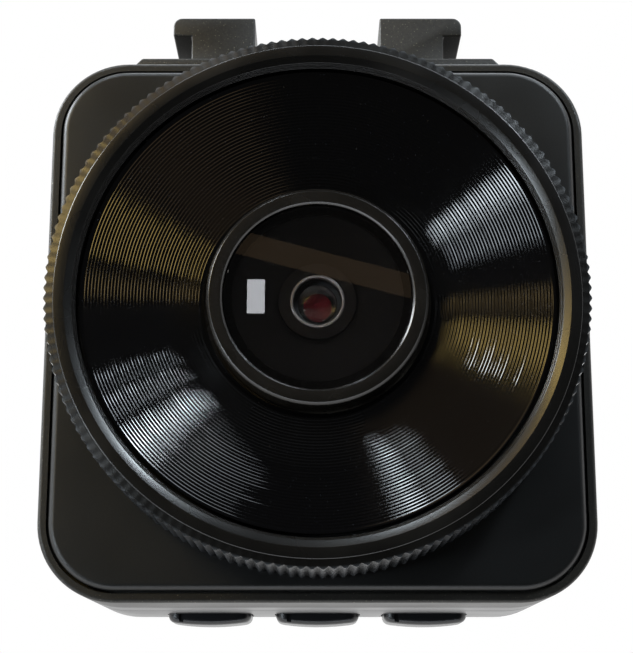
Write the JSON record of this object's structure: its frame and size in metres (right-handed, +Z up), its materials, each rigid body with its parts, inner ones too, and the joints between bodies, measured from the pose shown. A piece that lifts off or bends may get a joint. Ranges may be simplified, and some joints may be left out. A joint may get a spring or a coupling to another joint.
{
  "type": "dash camera",
  "caption": "Square vehicle camera with a knurled lens ring around a grooved dish, push buttons underneath, a rear display and a railed shoe on top.",
  "frame": {"origin": "middle of the raised seat between the two rails on top of the camera, where its bracket bears", "axes": "+X to the right seen from the front, +Y from the lens to the display, +Z up out of the seat; the lens axis is parallel to Y, 33.2 mm below the origin"},
  "size_m": [0.06, 0.046, 0.0704],
  "materials": {
    "grained_black": "fine moulded grain",
    "casing_black": "satin",
    "panel_black": "satin gloss",
    "ring_black": "black anodised, satin",
    "dish_black": "gloss, finely grooved",
    "housing_black": "matt",
    "window_glass": "coated, polished",
    "lens_glass": "polished",
    "red_glass": "coated, polished",
    "lens_black": "black anodised",
    "lens_silver": "turned, bright",
    "steel": "plated",
    "foam_black": "closed-cell foam and gasket",
    "board_green": "solder mask",
    "chip_black": "moulded",
    "flex_amber": "film",
    "battery_foil": "laminated foil",
    "display_metal": "framed panel"
  },
  "bodies": {
    "camera": {"front_frame": "grained_black", "mount_shoe": "grained_black", "middle_band": "casing_black", "rear_shell": "casing_black", "front_panel": "panel_black", "hub_ring": "ring_black", "grooved_dish": "dish_black", "lens_housing": "housing_black", "lens_holder": "housing_black", "lens_baffle": "housing_black", "card_socket": "housing_black", "display_plug": "housing_black", "sensor_plug": "housing_black", "board_plug": "housing_black", "cover_glass": "window_glass", "display_window": "window_glass", "front_element": "lens_glass", "rear_element": "lens_glass", "light_pipe": "lens_glass", "middle_element": "red_glass", "infrared_filter": "red_glass", "lens_barrel": "lens_black", "aperture_stop": "lens_black", "lens_trim_ring": "lens_silver", "lens_spacer": "lens_silver", "case_screws": "steel", "shoe_screws": "steel", "housing_screws": "steel", "sensor_screws": "steel", "board_screws": "steel", "shield_can": "steel", "power_socket": "steel", "ring_clip": "steel", "clock_cell": "steel", "panel_adhesive": "foam_black", "glass_gasket": "foam_black", "display_gasket": "foam_black", "speaker_foam": "foam_black", "battery_tape": "foam_black", "thermal_pad": "foam_black", "sensor_board": "board_green", "main_board": "board_green", "image_sensor": "chip_black", "processor": "chip_black", "memory_chip": "chip_black", "microphone": "chip_black", "speaker": "chip_black", "button_switches": "chip_black", "sensor_flex": "flex_amber", "battery": "battery_foil", "display_module": "display_metal"},
    "ring": {"grip_ring": "ring_black"},
    "left_button": {"button_left": "casing_black", "plunger_left": "chip_black"},
    "middle_button": {"button_middle": "casing_black", "plunger_middle": "chip_black"},
    "right_button": {"button_right": "casing_black", "plunger_right": "chip_black"},
    "card": {"memory_card": "chip_black"}
  },
  "joints": [
    {"name": "ring_turn", "type": "hinge", "parent": "camera", "child": "ring", "pos_m": [0, -0.021, -0.0332], "axis": [0, -1, 0], "continuous": true},
    {"name": "left_button_press", "type": "slide", "parent": "camera", "child": "left_button", "axis": [0, 0, 1], "range_m": [0, 0.0005], "stiffness_N_per_m": 2500, "springref_m": -0.0002},
    {"name": "middle_button_press", "type": "slide", "parent": "camera", "child": "middle_button", "axis": [0, 0, 1], "range_m": [0, 0.0005], "stiffness_N_per_m": 2500, "springref_m": -0.0002},
    {"name": "right_button_press", "type": "slide", "parent": "camera", "child": "right_button", "axis": [0, 0, 1], "range_m": [0, 0.0005], "stiffness_N_per_m": 2500, "springref_m": -0.0002},
    {"name": "card_slide", "type": "slide", "parent": "camera", "child": "card", "axis": [-1, 0, 0], "range_m": [0, 0.012]}
  ]
}
